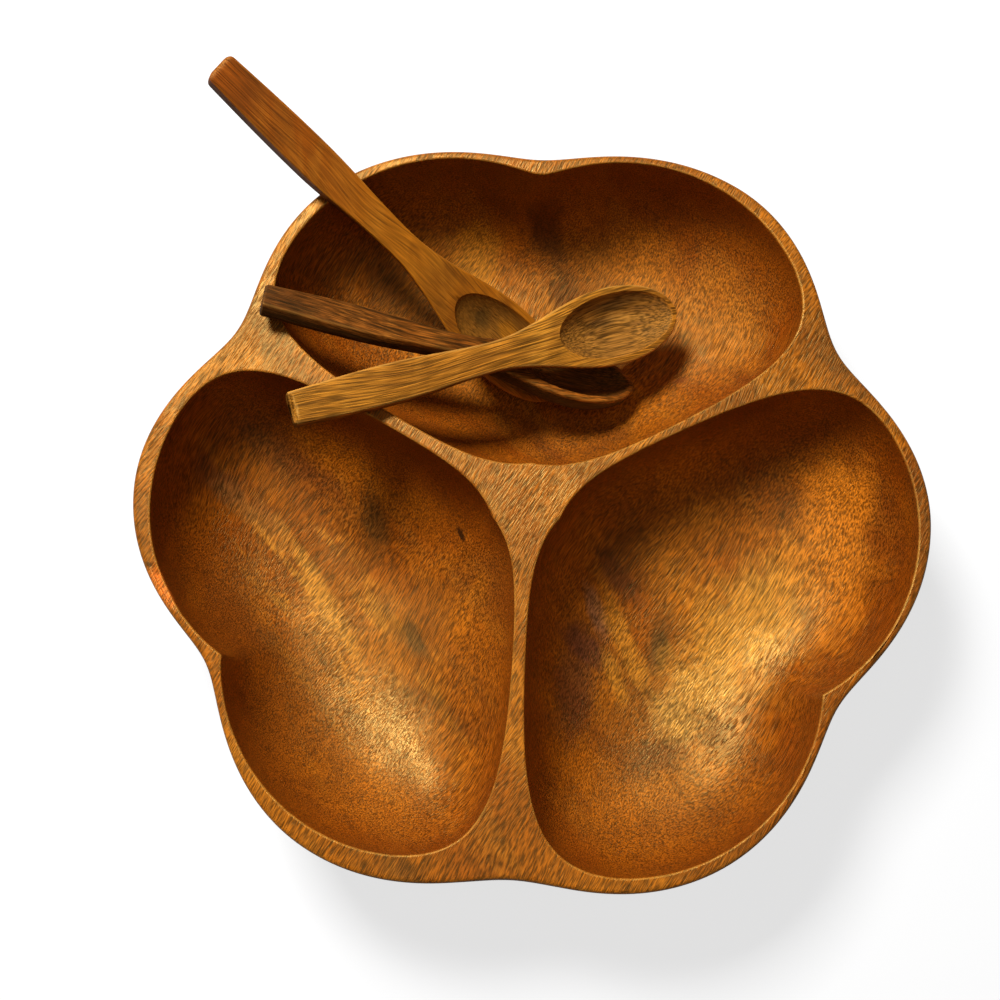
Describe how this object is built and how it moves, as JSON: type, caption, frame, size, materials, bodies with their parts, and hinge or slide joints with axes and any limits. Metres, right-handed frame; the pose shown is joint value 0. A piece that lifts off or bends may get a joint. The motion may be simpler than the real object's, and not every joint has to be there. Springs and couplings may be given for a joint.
{
  "type": "divided serving bowl",
  "caption": "Carved wooden serving bowl with a lobed outline, divided into rounded compartments with creased walls, with small carved wooden spoons lying in one of them.",
  "frame": {"origin": "middle of the bowl's flat base, on the surface that it stands on", "axes": "+Z up, square to the flat rim; +Y towards the compartment that holds the spoons; +X to the right of it when seen from above with +Y up"},
  "size_m": [0.2, 0.1981, 0.0619],
  "materials": {
    "bowl_wood": "oiled satin tropical hardwood with open pores",
    "red_brown_wood": "oiled satin reddish hardwood",
    "dark_brown_wood": "oiled dark striped hardwood",
    "light_brown_wood": "oiled light brown striped hardwood"
  },
  "bodies": {
    "bowl_body": {"bowl": "bowl_wood"},
    "bottom_spoon_body": {"bottom_spoon": "red_brown_wood"},
    "middle_spoon_body": {"middle_spoon": "dark_brown_wood"},
    "top_spoon_body": {"top_spoon": "light_brown_wood"}
  },
  "joints": [
    {"name": "bottom_spoon_lift", "type": "slide", "parent": "bowl_body", "child": "bottom_spoon_body", "axis": [0, 0, 1], "range_m": [0, 0.12]},
    {"name": "middle_spoon_lift", "type": "slide", "parent": "bottom_spoon_body", "child": "middle_spoon_body", "axis": [0, 0, 1], "range_m": [0, 0.12]},
    {"name": "top_spoon_lift", "type": "slide", "parent": "middle_spoon_body", "child": "top_spoon_body", "axis": [0, 0, 1], "range_m": [0, 0.12]}
  ]
}
